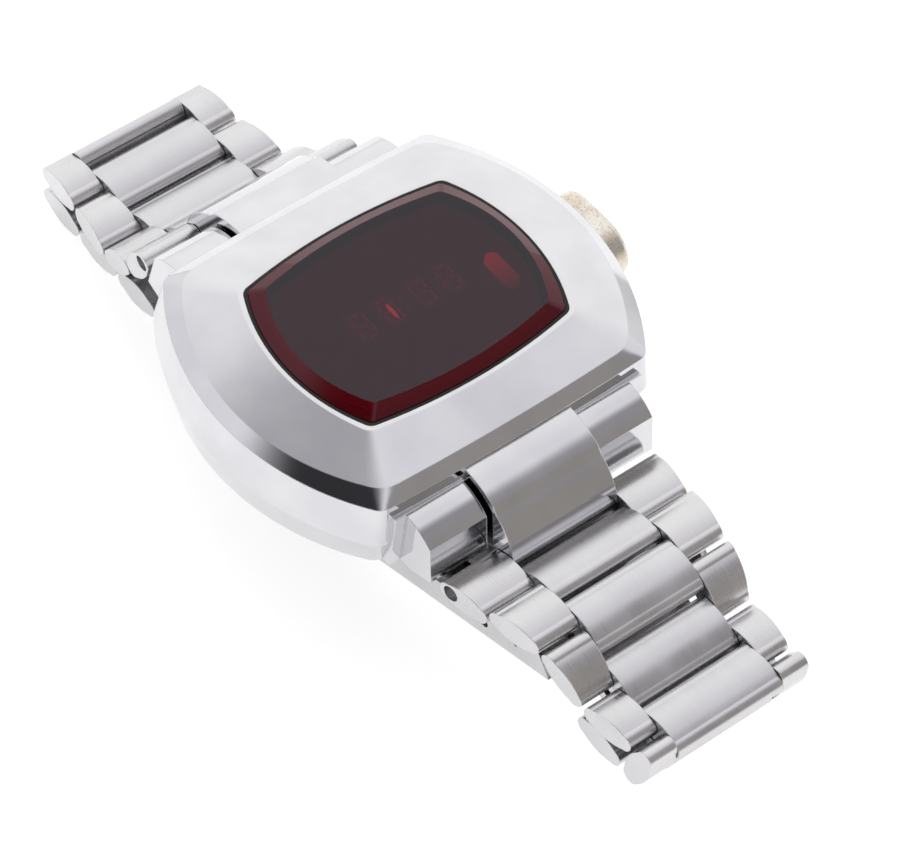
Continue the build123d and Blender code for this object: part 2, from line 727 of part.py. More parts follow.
twelve_side = hinge_lines(1, twelve_side_turns)
six_side = hinge_lines(-1, six_side_turns)
clasp_foot_z = twelve_side[-1][1] - link_half_thickness
clasp_side = Plane(origin=(0, twelve_side[-1][0] - clasp_foot_gap, clasp_foot_z),
                   x_dir=(0, -cos(radians(clasp_slope)), sin(radians(clasp_slope))), z_dir=(-1, 0, 0))
cover_knuckle = on_clasp(six_side[-1])
blade_knuckle = on_clasp(twelve_side[-1])
clasp_length = cover_knuckle[0] - clasp_tongue_reach
blade_hinge_u = clasp_length - blade_hinge_inset
magnet_u = clasp_length - (blade_hinge_inset - knuckle_radius) / 2
detent_u = blade_hinge_u + detent_pitch

# Spring bars that hold the first side links at both lugs
with BuildPart() as lug_bars:
    with BuildSketch(Plane.YZ):
        with Locations((lug_pin_y, lug_pin_z), (-lug_pin_y, lug_pin_z)):
            Circle(bar_radius)
    extrude(amount=lug_half_width - bar_recess, both=True)
lug_bars.part.label = "lug_bars"
export_step(lug_bars.part, "parts/lug_bars.step")

# Bracelet links in the brick pattern: side pair, middle link, side pair and so on
for index in range(len(twelve_side) - 1):
    ends = (twelve_side[index], twelve_side[index + 1])
    if index % 2:
        make_centre_link(f"twelve_centre_{index // 2 + 1}", *ends)
    else:
        make_outer_link(f"twelve_outer_{index // 2 + 1}", *ends, index, "pin" if index else "bar")

for index in range(len(six_side) - 1):
    ends = (six_side[index], six_side[index + 1])
    if index % 2:
        make_centre_link(f"six_centre_{index // 2 + 1}", *ends)
    elif index == len(six_side) - 2:
        make_outer_link(f"six_outer_{index // 2 + 1}", *ends, index, "stubs")
    else:
        make_outer_link(f"six_outer_{index // 2 + 1}", *ends, index, "pin" if index else "bar")

# Clasp cover: a channel with a narrow tongue that ends in the last knuckle
with BuildPart() as clasp_cover:
    with BuildSketch(clasp_side):
        with BuildLine():
            Polyline((0, 0), (clasp_length, 0), (clasp_length - clasp_end_slant, clasp_wall_height),
                     (clasp_end_slant, clasp_wall_height), close=True)
        make_face()
    extrude(amount=clasp_half_width, both=True)
    with BuildSketch(clasp_side):
        with Locations((clasp_length / 2, clasp_plate)):
            Rectangle(clasp_length + overrun, clasp_wall_height, align=(Align.CENTER, Align.MIN))
    extrude(amount=clasp_half_width - clasp_wall, both=True, mode=Mode.SUBTRACT)
    tongue_start = Vector(clasp_length - clasp_tongue_thickness, clasp_tongue_thickness / 2)
    tongue_end = Vector(*cover_knuckle)
    with BuildSketch(clasp_side):
        SlotCenterPoint(center=(tongue_start + tongue_end) / 2, point=tongue_end,
                        height=clasp_tongue_thickness)
        with Locations(cover_knuckle):
            Circle(link_half_thickness)
    extrude(amount=centre_half_width, both=True)
    with BuildSketch(clasp_side):
        with Locations(cover_knuckle):
            Circle(hole_radius)
    extrude(amount=centre_half_width + overrun, both=True, mode=Mode.SUBTRACT)
    with BuildSketch(clasp_side):
        with Locations((cover_hinge_u, hinge_level)):
            Circle(clasp_pin_radius + fit_gap)
        with Locations((blade_hinge_u, hinge_level)):
            Circle(catch_hole_radius)
        with Locations((detent_u, hinge_level)):
            Circle(detent_radius)
    extrude(amount=clasp_half_width + overrun, both=True, mode=Mode.SUBTRACT)
clasp_cover.part.label = "clasp_cover"
export_step(clasp_cover.part, "parts/clasp_cover.step")

with BuildPart() as setting_magnet:
    with BuildSketch(clasp_side):
        with Locations((magnet_u, clasp_plate)):
            Rectangle(magnet_width, magnet_height, align=(Align.CENTER, Align.MIN))
    extrude(amount=magnet_length / 2, both=True)
setting_magnet.part.label = "setting_magnet"
export_step(setting_magnet.part, "parts/setting_magnet.step")

with BuildPart() as cover_hinge_pin:
    with BuildSketch(clasp_side):
        with Locations((cover_hinge_u, hinge_level)):
            Circle(clasp_pin_radius)
    extrude(amount=clasp_half_width - pin_end_gap, both=True)
cover_hinge_pin.part.label = "cover_hinge_pin"
export_step(cover_hinge_pin.part, "parts/cover_hinge_pin.step")

# Middle blade, turning on the cover's pin at one end and on the inner blade's at the other
with BuildPart() as clasp_middle_blade:
    with BuildSketch(clasp_side):
        with Locations(((cover_hinge_u + blade_hinge_u) / 2, middle_blade_level)):
            Rectangle(blade_hinge_u - cover_hinge_u, middle_blade_thickness, align=(Align.CENTER, Align.MIN))
        with Locations((cover_hinge_u, hinge_level), (blade_hinge_u, hinge_level)):
            Circle(knuckle_radius)
    extrude(amount=middle_blade_half_width, both=True)
    with BuildSketch(clasp_side):
        with Locations((cover_hinge_u, hinge_level), (blade_hinge_u, hinge_level)):
            Circle(clasp_pin_radius + pin_gap)
    extrude(amount=middle_blade_half_width + overrun, both=True, mode=Mode.SUBTRACT)
clasp_middle_blade.part.label = "clasp_middle_blade"
export_step(clasp_middle_blade.part, "parts/clasp_middle_blade.step")

# Inner blade, with a knuckle for the last side links and two knuckles for the middle blade
with BuildPart() as clasp_inner_blade:
    blade_root = Vector(-inner_blade_reach, inner_blade_level + inner_blade_thickness / 2)
    blade_tip = Vector(*blade_knuckle)
    with BuildSketch(clasp_side):
        with Locations((-inner_blade_reach, inner_blade_level)):
            Rectangle(blade_hinge_u + knuckle_radius + inner_blade_reach, inner_blade_thickness,
                      align=(Align.MIN, Align.MIN))
        SlotCenterPoint(center=(blade_root + blade_tip) / 2, point=blade_tip, height=inner_blade_thickness)
        with Locations(blade_knuckle):
            Circle(link_half_thickness)
    extrude(amount=inner_blade_half_width, both=True)
    with BuildSketch(clasp_side):
        with Locations(blade_knuckle):
            Circle(hole_radius)
    extrude(amount=inner_blade_half_width + overrun, both=True, mode=Mode.SUBTRACT)
    for hand in (1, -1):
        with BuildSketch(clasp_side.offset(hand * (middle_blade_half_width + knuckle_gap))):
            with Locations((blade_hinge_u, hinge_level)):
                Circle(knuckle_radius)
                Rectangle(2 * knuckle_radius, inner_blade_level - hinge_level + inner_blade_thickness / 2,
                          align=(Align.CENTER, Align.MIN))
            with Locations((blade_hinge_u, hinge_level)):
                Circle(clasp_pin_radius + fit_gap, mode=Mode.SUBTRACT)
        extrude(amount=hand * (inner_blade_half_width - middle_blade_half_width - knuckle_gap))
clasp_inner_blade.part.label = "clasp_inner_blade"
export_step(clasp_inner_blade.part, "parts/clasp_inner_blade.step")

with BuildPart() as blade_hinge_pin:
    with BuildSketch(clasp_side):
        with Locations((blade_hinge_u, hinge_level)):
            Circle(clasp_pin_radius)
    extrude(amount=clasp_half_width - clasp_wall - 2 * pin_end_gap, both=True)
blade_hinge_pin.part.label = "blade_hinge_pin"
export_step(blade_hinge_pin.part, "parts/blade_hinge_pin.step")
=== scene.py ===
"""Looks of an LED wrist watch: steels, red filter crystal, display, worn push button, stage and camera."""

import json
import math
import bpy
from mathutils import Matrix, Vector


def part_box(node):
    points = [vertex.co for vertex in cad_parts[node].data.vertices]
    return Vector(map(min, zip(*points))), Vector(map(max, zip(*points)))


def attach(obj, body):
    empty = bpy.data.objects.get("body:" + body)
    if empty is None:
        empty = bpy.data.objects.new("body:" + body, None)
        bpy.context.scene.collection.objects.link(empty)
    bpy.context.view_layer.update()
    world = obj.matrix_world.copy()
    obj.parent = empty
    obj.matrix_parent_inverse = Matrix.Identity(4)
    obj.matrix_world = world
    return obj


bl_info = {
    "name": "LED wrist watch",
    "version": (1, 0, 0),
    "blender": (4, 5, 0),
    "location": "View3D > Sidebar > Watch",
    "description": "Adds the materials, display, stage and camera of an LED wrist watch",
    "category": "Object",
}

import bpy
from bpy.props import FloatProperty, FloatVectorProperty, IntProperty, PointerProperty
from mathutils import Matrix, Vector

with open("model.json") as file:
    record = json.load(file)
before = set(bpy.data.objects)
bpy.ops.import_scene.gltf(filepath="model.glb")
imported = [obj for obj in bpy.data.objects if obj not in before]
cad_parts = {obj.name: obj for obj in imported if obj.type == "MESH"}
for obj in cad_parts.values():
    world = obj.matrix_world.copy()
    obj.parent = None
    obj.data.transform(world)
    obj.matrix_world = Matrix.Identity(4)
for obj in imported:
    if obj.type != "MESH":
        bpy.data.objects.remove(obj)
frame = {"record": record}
SLOTS = {entry["node"]: entry["material_slot"] for entry in frame["record"]["subparts"]}

MM = 0.001

# Pixels of the picture, across and down
PICTURE_SIZE = (900, 842)

# Corner radius of an eight-cornered bar that is about one unit wide across its flats
BAR_RADIUS = 0.54

# Noise seldom leaves this range, so it is spread from here
NOISE_RANGE = {"From Min": 0.3, "From Max": 0.7}

# Patches of the tent: direction, half angles in degrees of the even middle and of the soft rim, colour
TENT_PATCHES = (
    # The far wall is the brightest
    ((0.62, 0.66, 0.42), 12.0, 50.0, "#FFFFFF"),
    # The roof is dimmer over the left of the watch, which greys the left of the bezel
    ((-0.15, 0.2, 0.97), 4.0, 26.0, "#AFAEB2"),
    # The hole that the camera looks through is dark
    ((-0.52, -0.24, 0.81), 16.0, 38.0, "#343336"),
    # The front wall is grey, high up and low down
    ((0.44, -0.52, 0.73), 12.0, 26.0, "#979598"),
    ((0.36, -0.86, 0.30), 14.0, 40.0, "#96928E"),
)


# Shader helpers

def linear(hex_colour):
    """An sRGB hex colour as linear RGBA."""
    channels = [int(hex_colour[i:i + 2], 16) / 255 for i in (1, 3, 5)]
    return [c / 12.92 if c <= 0.04045 else ((c + 0.055) / 1.055) ** 2.4 for c in channels] + [1.0]


def add(tree, kind, inputs=None, **settings):
    """Adds a node; each input takes a value, a hex colour, a socket or another node's first output."""
    made = tree.nodes.new(kind)
    for name, value in settings.items():
        setattr(made, name, value)
    for name, value in (inputs or {}).items():
        if isinstance(value, bpy.types.Node):
            value = next(output for output in value.outputs if output.enabled)
        if isinstance(value, bpy.types.NodeSocket):
            tree.links.new(value, made.inputs[name])
        else:
            made.inputs[name].default_value = linear(value) if isinstance(value, str) else value
    return made


def start_material(name):
    """An empty node material and its tree."""
    made = bpy.data.materials.new(name)
    made.use_nodes = True
    made.node_tree.nodes.clear()
    return made, made.node_tree


def close_material(tree, inputs):
    """Adds the surface with these inputs and sends it to the output."""
    surface = add(tree, "ShaderNodeBsdfPrincipled", inputs)
    add(tree, "ShaderNodeOutputMaterial", {"Surface": surface})


def grain(tree, spacing, detail, turn=(0.0, 0.0, 0.0)):
    """Noise in object space whose marks lie this many millimetres apart along X, Y and Z."""
    place = add(tree, "ShaderNodeTexCoord")
    lay = add(tree, "ShaderNodeMapping", {"Vector": place.outputs["Object"], "Rotation": turn,
                                          "Scale": [1.0 / (MM * step) for step in spacing]})
    return add(tree, "ShaderNodeTexNoise", {"Vector": lay, "Scale": 1.0, "Detail": detail})


# Finishes

def steel(name, colour, dark, rough, brushing, depth, scratch_depth, edge, dirt_and_shade=0.0):
    """Stainless steel: brushing, crossing hairlines, finger marks, worn edges, and grime with painted shade
    where pieces meet.
    """
    made, tree = start_material(name)
    brushed = grain(tree, brushing, 5.0)
    marks = grain(tree, (5.0, 5.0, 5.0), 3.0)
    patches = add(tree, "ShaderNodeMapRange", {"Value": marks, **NOISE_RANGE})
    tint = add(tree, "ShaderNodeMix", {"Factor": patches, "A": dark, "B": colour}, data_type="RGBA")
    streaks = add(tree, "ShaderNodeMapRange", {"Value": brushed, **NOISE_RANGE,
                                               "To Min": -rough * 0.15, "To Max": rough * 0.15})
    smears = add(tree, "ShaderNodeMapRange", {"Value": marks, **NOISE_RANGE,
                                              "To Min": rough * 0.9, "To Max": rough * 1.2})
    sheen = add(tree, "ShaderNodeMath", {0: streaks, 1: smears}, operation="ADD")
    if dirt_and_shade:
        # Painted shade, mixed with grime and oxide from hands, darkens and dulls the lines where two pieces
        # nearly touch
        crevice = add(tree, "ShaderNodeAmbientOcclusion", {"Distance": 0.5 * MM}, samples=6)
        speck = grain(tree, (0.25, 0.25, 0.25), 4.0)
        ragged = add(tree, "ShaderNodeMapRange", {"Value": speck, **NOISE_RANGE,
                                                  "To Min": -0.12, "To Max": 0.12})
        openness = add(tree, "ShaderNodeMath", {0: crevice.outputs["AO"], 1: ragged}, operation="ADD")
        soil_and_shade = add(tree, "ShaderNodeMapRange", {"Value": openness, "From Min": 0.15, "From Max": 0.62,
                                                "To Min": dirt_and_shade, "To Max": 0.0})
        tint = add(tree, "ShaderNodeMix", {"Factor": soil_and_shade, "A": tint, "B": "#3B332D"}, data_type="RGBA")
        dulled = add(tree, "ShaderNodeMapRange", {"Value": soil_and_shade, "To Min": 0.0, "To Max": 0.4})
        sheen = add(tree, "ShaderNodeMath", {0: sheen, 1: dulled}, operation="ADD")
    worn = add(tree, "ShaderNodeBevel", {"Radius": edge * MM}, samples=6)
    relief = add(tree, "ShaderNodeBump", {"Strength": 0.5, "Distance": depth * MM, "Height": brushed,
                                          "Normal": worn})
    # Real hairlines are finer than the 0.16 mm at which they are drawn so that they show
    for angle in (0.5, -0.9):
        lines = grain(tree, (0.16, 11.0, 0.4), 2.0, (0.2, 0.1, angle))
        scratches = add(tree, "ShaderNodeMapRange", {"Value": lines, "From Min": 0.68, "From Max": 0.76})
        relief = add(tree, "ShaderNodeBump", {"Strength": 0.4, "Distance": scratch_depth * MM,
                                              "Height": scratches, "Normal": relief}, invert=True)
    close_material(tree, {"Metallic": 1.0, "Base Color": tint, "Roughness": sheen, "Normal": relief})
    return made


def red_glass(colour, facet_colour):
    """Filter glass, almost black from above, with a deep red ground bevel and hairline scratches."""
    made, tree = start_material("ground red filter glass")
    lines = grain(tree, (0.4, 14.0, 1.1), 2.0, (0.0, 0.0, 0.7))
    scratches = add(tree, "ShaderNodeMapRange", {"Value": lines, "From Min": 0.72, "From Max": 0.77})
    nicks = grain(tree, (0.5, 0.3, 0.5), 1.0, (0.0, 0.0, 0.4))
    chips = add(tree, "ShaderNodeMapRange", {"Value": nicks, "From Min": 0.76, "From Max": 0.8})
    wear = add(tree, "ShaderNodeMath", {0: scratches, 1: chips}, operation="MAXIMUM")
    film = grain(tree, (4.0, 4.0, 4.0), 3.0)
    relief = add(tree, "ShaderNodeBump", {"Strength": 0.3, "Distance": 0.003 * MM, "Height": wear},
                 invert=True)
    # The ground facets scatter the light inside the glass, so they glow red
    shape = add(tree, "ShaderNodeNewGeometry")
    facing = add(tree, "ShaderNodeSeparateXYZ", {"Vector": shape.outputs["True Normal"]})
    facet = add(tree, "ShaderNodeMapRange", {"Value": facing.outputs["Z"], "From Min": 0.999,
                                             "From Max": 0.98})
    tint = add(tree, "ShaderNodeMix", {"Factor": facet, "A": colour, "B": facet_colour}, data_type="RGBA")
    clearness = add(tree, "ShaderNodeMapRange", {"Value": facet, "To Min": 1.0, "To Max": 0.6})
    haze = add(tree, "ShaderNodeMapRange", {"Value": film, **NOISE_RANGE, "To Min": 0.01, "To Max": 0.03})
    close_material(tree, {"Base Color": tint, "Transmission Weight": clearness, "IOR": 1.52,
                          "Specular IOR Level": 0.15, "Specular Tint": "#F4EAF8", "Roughness": haze,
                          "Normal": relief})
    return made


def plain(name, colour, dark, rough, metal=0.0, glow=0.0):
    """A moulded, coated or rolled surface, slightly mottled; glow is a painted glow that stands in for the
    tent's light that it sends back.
    """
    made, tree = start_material(name)
    mottle = grain(tree, (2.5, 2.5, 2.5), 5.0)
    relief = add(tree, "ShaderNodeBump", {"Strength": 0.4, "Distance": 0.004 * MM, "Height": mottle})
    patches = add(tree, "ShaderNodeMapRange", {"Value": mottle, **NOISE_RANGE})
    tint = add(tree, "ShaderNodeMix", {"Factor": patches, "A": dark, "B": colour}, data_type="RGBA")
    sheen = add(tree, "ShaderNodeMapRange", {"Value": mottle, **NOISE_RANGE,
                                             "To Min": rough * 0.85, "To Max": rough * 1.2})
    close_material(tree, {"Metallic": metal, "Base Color": tint, "Roughness": sheen, "Normal": relief,
                          "Emission Color": colour, "Emission Strength": glow})
    return made


def sensor_lens():
    """Clear lens of the light sensor with a painted glow, strongest at the end where the tent's light falls
    in.
    """
    made, tree = start_material("clear sensor lens")
    place = add(tree, "ShaderNodeTexCoord")
    split = add(tree, "ShaderNodeSeparateXYZ", {"Vector": place.outputs["Object"]})
    low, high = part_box("light_sensor")
    # Painted glow, rising along the lens
    painted_glow_ramp = add(tree, "ShaderNodeMapRange", {"Value": split.outputs["Y"], "From Min": low.y,
                                             "From Max": high.y, "To Min": 0.03, "To Max": 0.26})
    close_material(tree, {"Base Color": "#C8A8A0", "Roughness": 0.3, "Emission Color": "#FFE8E0",
                          "Emission Strength": painted_glow_ramp})
    return made


def worn_plate():
    """Nickel plate rubbed through in patches, with grime left in its pits, as on the old pusher."""
    made, tree = start_material("worn nickel plate")
    patch = grain(tree, (1.6, 1.6, 1.6), 5.0)
    pits = grain(tree, (0.12, 0.3, 0.12), 5.0)
    rubbed = add(tree, "ShaderNodeMapRange", {"Value": patch, "From Min": 0.38, "From Max": 0.62})
    bare = add(tree, "ShaderNodeMix", {"Factor": rubbed, "A": "#E0D4C2", "B": "#EAE5DC"}, data_type="RGBA")
    grime = add(tree, "ShaderNodeMapRange", {"Value": pits, "From Min": 0.3, "From Max": 0.44,
                                             "To Min": 0.7, "To Max": 0.0})
    relief = add(tree, "ShaderNodeBump", {"Strength": 0.5, "Distance": 0.02 * MM, "Height": pits})
    tint = add(tree, "ShaderNodeMix", {"Factor": grime, "A": bare, "B": "#6A5F50"}, data_type="RGBA")
    sheen = add(tree, "ShaderNodeMapRange", {"Value": patch, **NOISE_RANGE, "To Min": 0.42, "To Max": 0.28})
    close_material(tree, {"Metallic": 1.0, "Base Color": tint, "Roughness": sheen, "Normal": relief})
    return made


# Settings

class WatchFinish(bpy.types.PropertyGroup):
    """Colours of the steels that show most and of the filter"""
    case_colour: FloatVectorProperty(name="Case steel", description="Colour of the polished case", size=4,
                                     subtype="COLOR", default=linear("#DDDDDF"))
    side_colour: FloatVectorProperty(name="Side link steel", description="Colour of the satin side links",
                                     size=4, subtype="COLOR", default=linear("#DCDBDC"))
    middle_colour: FloatVectorProperty(name="Middle link steel", size=4, subtype="COLOR",
                                       description="Colour of the satin middle links",
                                       default=linear("#D8D7D9"))
    filter_colour: FloatVectorProperty(name="Filter", description="Colour of the glass under its flat top",
                                       size=4, subtype="COLOR", default=linear("#B80C26"))
    facet_colour: FloatVectorProperty(name="Filter facets", description="Colour of the glass's ground bevel",
                                      size=4, subtype="COLOR", default=linear("#7C0816"))


class WatchStage(bpy.types.PropertyGroup):
    """Camera, floor and lights"""
    lens: FloatProperty(name="Lens", description="Focal length, mm", default=200.0)
    camera_at: FloatVectorProperty(name="Camera", description="Where the camera stands", unit="LENGTH",
                                   default=(-0.2006, -0.2041, 0.3534))
    azimuth: FloatProperty(name="Azimuth", description="Camera's turn about the dial, degrees",
                           default=-45.606)
    elevation: FloatProperty(name="Elevation", description="Camera's height over the dial, degrees",
                             default=52.362)
    roll: FloatProperty(name="Roll", description="Camera's turn about its own line of sight, degrees",
                        default=8.464)
    floor_size: FloatProperty(name="Floor size", description="Side of the white card", default=3.0,
                              unit="LENGTH")
    floor_gap: FloatProperty(name="Floor gap", description="Card's distance below the lowest link, mm",
                             default=0.02)
    card_glow: FloatProperty(name="Card glow", description="Light that the card adds towards the camera",
                             default=0.72)
    card_shine: FloatProperty(name="Card shine", description="Light that the card adds in reflections",
                              default=0.68)
    tent_power: FloatProperty(name="Tent power", description="Strength of the tent's light", default=1.15)
    key_at: FloatVectorProperty(name="Key light", description="Where the high softbox hangs", unit="LENGTH",
                                default=(0.30, 0.34, 0.75))
    key_size: FloatProperty(name="Key size", description="Side of the high softbox", default=0.9,
                            unit="LENGTH")
    key_power: FloatProperty(name="Key power", description="Power of the high softbox, W", default=1.0)
    side_at: FloatVectorProperty(name="Side light", description="Where the side softbox stands",
                                 unit="LENGTH", default=(0.65, 0.30, 0.35))
    side_size: FloatProperty(name="Side size", description="Side of the side softbox", default=0.5,
                             unit="LENGTH")
    side_power: FloatProperty(name="Side power", description="Power of the side softbox, W", default=0.3)


class WatchDisplay(bpy.types.PropertyGroup):
    """Sizes of the display bars, in millimetres unless named as a share"""
    places: IntProperty(name="Digits", description="How many digits the display has", default=4, min=1)
    chip_width: FloatProperty(name="Digit width", description="Width of one digit, mm", default=2.0)
    chip_pitch: FloatProperty(name="Digit pitch", description="Distance from one digit to the next, mm",
                              default=3.1)
    bar_width: FloatProperty(name="Bar width", description="Width of one bar, mm", default=0.28)
    rise_share: FloatProperty(name="Rise", description="Height of the bars as a share of the chip's height",
                              default=0.2, subtype="FACTOR")
    soft_share: FloatProperty(name="Softness", description="Bevel of a bar's edges as a share of its width",
                              default=0.06, subtype="FACTOR")
    # The bright bar is lit by a painted glow, not by the lamps
    bright_at: FloatVectorProperty(name="Bright bar", size=2, default=(-0.95, 0.75),
                                   description="Middle of the bar that catches the light, mm")
    bright_length: FloatProperty(name="Bright bar length", description="Its length, mm", default=1.9)
    bright_share: FloatProperty(name="Bright bar width", description="Its width as a share of the others'",
                                default=1.2)


# Materials on the CAD pieces

def materials_by_slot(finish):
    """One finished material for each slot of the record."""
    # Grit lines are really about 0.03 mm apart; they are drawn at 0.12 mm so that they show
    lengthwise = (0.12, 16.0, 16.0)
    crosswise = (16.0, 0.12, 0.12)
    # Hand polishing leaves hardly any grain, only long soft waves
    buffed = (3.0, 3.0, 3.0)
    # The polished case mirrors the tent, a little broken by its waves, hairlines and finger marks
    case = steel("polished case steel", finish.case_colour, "#D4D4D7", rough=0.09, brushing=buffed,
                 depth=0.004, scratch_depth=0.002, edge=0.16, dirt_and_shade=0.9)
    # Satin links draw the light out across their grit lines, and painted shade with some grime darkens the
    # gaps between them
    side = steel("satin side link steel", finish.side_colour, "#D2D1D2", rough=0.27, brushing=lengthwise,
                 depth=0.0016, scratch_depth=0.002, edge=0.14, dirt_and_shade=0.9)
    middle = steel("satin middle link steel", finish.middle_colour, "#CECDCF", rough=0.29,
                   brushing=lengthwise, depth=0.0016, scratch_depth=0.002, edge=0.14, dirt_and_shade=0.9)
    # Folded and spring sheet shows deeper scratches than the links, and the spring is the greyer
    cover = steel("folded cover steel", "#D2D2D3", "#C8C8C9", rough=0.2, brushing=lengthwise,
                  depth=0.0016, scratch_depth=0.003, edge=0.1, dirt_and_shade=0.7)
    blade = steel("blade spring steel", "#C0C0C1", "#B0B0B1", rough=0.26, brushing=lengthwise,
                  depth=0.002, scratch_depth=0.003, edge=0.1, dirt_and_shade=0.5)
    # Turning leaves rings round a pin, which grey it
    pins = steel("turned pin steel", "#B4B4B5", "#9E9E9F", rough=0.25, brushing=crosswise,
                 depth=0.002, scratch_depth=0.001, edge=0.04)
    # The brushed back is duller than the case
    back = steel("satin back steel", "#C6C6C7", "#B8B8B9", rough=0.25, brushing=lengthwise,
                 depth=0.002, scratch_depth=0.003, edge=0.1, dirt_and_shade=0.5)
    # Turned screws are the darkest of the steels
    screws = steel("screw steel", "#B0B0B1", "#98989A", rough=0.28, brushing=crosswise,
                   depth=0.002, scratch_depth=0.001, edge=0.04)
    return {
        "case_steel": case,
        "side_link_steel": side,
        "middle_link_steel": middle,
        "cover_steel": cover,
        "blade_steel": blade,
        "pin_steel": pins,
        "back_steel": back,
        "screw_steel": screws,
        "red_filter": red_glass(finish.filter_colour, finish.facet_colour),
        # Moulded rubber is a dull black line round the glass
        "seal_rubber": plain("black nitrile rubber", "#1A1816", "#100E0D", rough=0.6),
        # The coated board is a dark ground behind the digits
        "board_ceramic": plain("dark coated ceramic", "#1A1012", "#120A0C", rough=0.5),
        # The cast resin over the diodes has a faint painted glow, standing in for the light it sends back
        # through the filter
        "digit_red": plain("red diode resin", "#5A2A2A", "#442020", rough=0.4, glow=0.1),
        "sensor_red": sensor_lens(),
        # Moulded nylon and epoxy are matt
        "module_plastic": plain("grey moulded nylon", "#34353A", "#2A2B2F", rough=0.55),
        "chip_plastic": plain("black epoxy", "#151517", "#101012", rough=0.5),
        # Drawn and rolled metal keeps a soft shine
        "can_steel": plain("drawn nickel plate", "#C8C6C0", "#AFADA8", rough=0.22, metal=1.0),
        "contact_brass": plain("bare spring brass", "#C9A550", "#A98538", rough=0.3, metal=1.0),
        "button_metal": worn_plate(),
        # Sintered powder is a dark, dull grey
        "magnet_grey": plain("sintered magnet", "#4A4A4C", "#3A3A3C", rough=0.5, metal=1.0),
    }


class WATCH_OT_materials(bpy.types.Operator):
    """Gives every CAD piece its material"""
    bl_idname = "watch.materials"
    bl_label = "Materials"
    bl_options = {"REGISTER", "UNDO"}

    def execute(self, context):
        finishes = materials_by_slot(context.scene.watch_finish)
        for name, slot in SLOTS.items():
            piece = bpy.data.objects[name]
            piece.data.materials.clear()
            piece.data.materials.append(finishes[slot])
        return {"FINISHED"}


# Display behind the filter

def segment_places(corner, width, height, bar):
    """Seven bars of a digit inside its chip, each as its centre, its length and whether it stands upright."""
    left, right = corner.x + bar, corner.x + width - bar
    low, high = corner.y + bar, corner.y + height - bar
    middle = (low + high) / 2
    level = [((left + right) / 2, y, right - left - bar, False) for y in (low, middle, high)]
    upright = [(x, (start + end) / 2, end - start - bar, True)
               for x in (left, right) for start, end in ((low, middle), (middle, high))]
    return level + upright


class WATCH_OT_digits(bpy.types.Operator):
    """Adds the unlit bars of the digits on the diode chips with a faint painted glow, and one bar with a
    stronger painted glow where it would catch the light
    """
    bl_idname = "watch.digits"
    bl_label = "Digit bars"
    bl_options = {"REGISTER", "UNDO"}

    def execute(self, context):
        settings = context.scene.watch_display
        low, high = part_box("led_digits")
        width, pitch, bar = settings.chip_width * MM, settings.chip_pitch * MM, settings.bar_width * MM
        rise = (high.z - low.z) * settings.rise_share
        places = []
        for place in range(settings.places):
            from_right = settings.places - 1 - place
            start = low.x + place * pitch if place < from_right else high.x - width - from_right * pitch
            places += segment_places(Vector((start, low.y, 0.0)), width, high.y - low.y, bar)

        # One eight-cornered bar with softened edges
        bpy.ops.object.select_all(action="DESELECT")
        bpy.ops.mesh.primitive_cylinder_add(vertices=8, radius=BAR_RADIUS, depth=1.0,
                                            rotation=(0.0, 0.0, math.pi / 8))
        bpy.ops.object.transform_apply(location=False, rotation=True, scale=False)
        master = context.active_object
        bpy.ops.object.mode_set(mode="EDIT")
        bpy.ops.mesh.select_all(action="SELECT")
        bpy.ops.mesh.bevel(offset=settings.soft_share, segments=1)
        bpy.ops.object.mode_set(mode="OBJECT")

        # Its copies are stretched along Y, turned and laid on the chips
        bars = []
        for x, y, length, upright in places:
            piece = master.copy()
            piece.data = master.data.copy()
            context.collection.objects.link(piece)
            size = Matrix.Diagonal((bar, length, rise, 1.0))
            turn = Matrix.Rotation(math.pi if upright else math.pi / 2, 4, "Z")
            piece.data.transform(Matrix.Translation((x, y, high.z + rise / 2)) @ turn @ size)
            bars.append(piece)
        # The unlit bars get a faint painted glow so that they show through the filter
        self.join(context, bars, "digit_bars", plain("diode bar", "#D09A90", "#B08078", rough=0.3, glow=0.05))

        # The master itself becomes the bar with the stronger painted glow, where the light would catch it
        centre = Vector(settings.bright_at) * MM
        size = Matrix.Diagonal((bar * settings.bright_share, settings.bright_length * MM, rise, 1.0))
        master.data.transform(Matrix.Translation((centre.x, centre.y, high.z + rise)) @ size)
        self.join(context, [master], "painted_glow_bar",
                  plain("diode bar with painted glow", "#FFD8D0", "#F0B8B0", rough=0.3, glow=0.5))
        return {"FINISHED"}

    def join(self, context, pieces, name, finish):
        """Makes one piece of several, names it and puts it on the case."""
        bpy.ops.object.select_all(action="DESELECT")
        for piece in pieces:
            piece.select_set(True)
        context.view_layer.objects.active = pieces[0]
        if len(pieces) > 1:
            bpy.ops.object.join()
        piece = context.active_object
        piece.name = name
        piece.data.materials.append(finish)
        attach(piece, "case")


# Stage

def white_table(settings):
    """Matt white card that the camera, metal and glass see as white, with the watch's shadow kept."""
    made, tree = start_material("matt white card")
    fibre = grain(tree, (0.3, 0.3, 0.3), 2.0)
    card = add(tree, "ShaderNodeMix", {"Factor": fibre, "A": "#D2D2D2", "B": "#D6D6D6"}, data_type="RGBA")
    path = add(tree, "ShaderNodeLightPath")
    seen = add(tree, "ShaderNodeMath", {0: path.outputs["Is Camera Ray"], 1: settings.card_glow},
               operation="MULTIPLY")
    glanced = add(tree, "ShaderNodeMath", {0: path.outputs["Is Glossy Ray"], 1: settings.card_shine,
                                           2: seen}, operation="MULTIPLY_ADD")
    close_material(tree, {"Base Color": card, "Roughness": 0.9, "Emission Color": "#FFFFFF",
                          "Emission Strength": glanced})
    return made


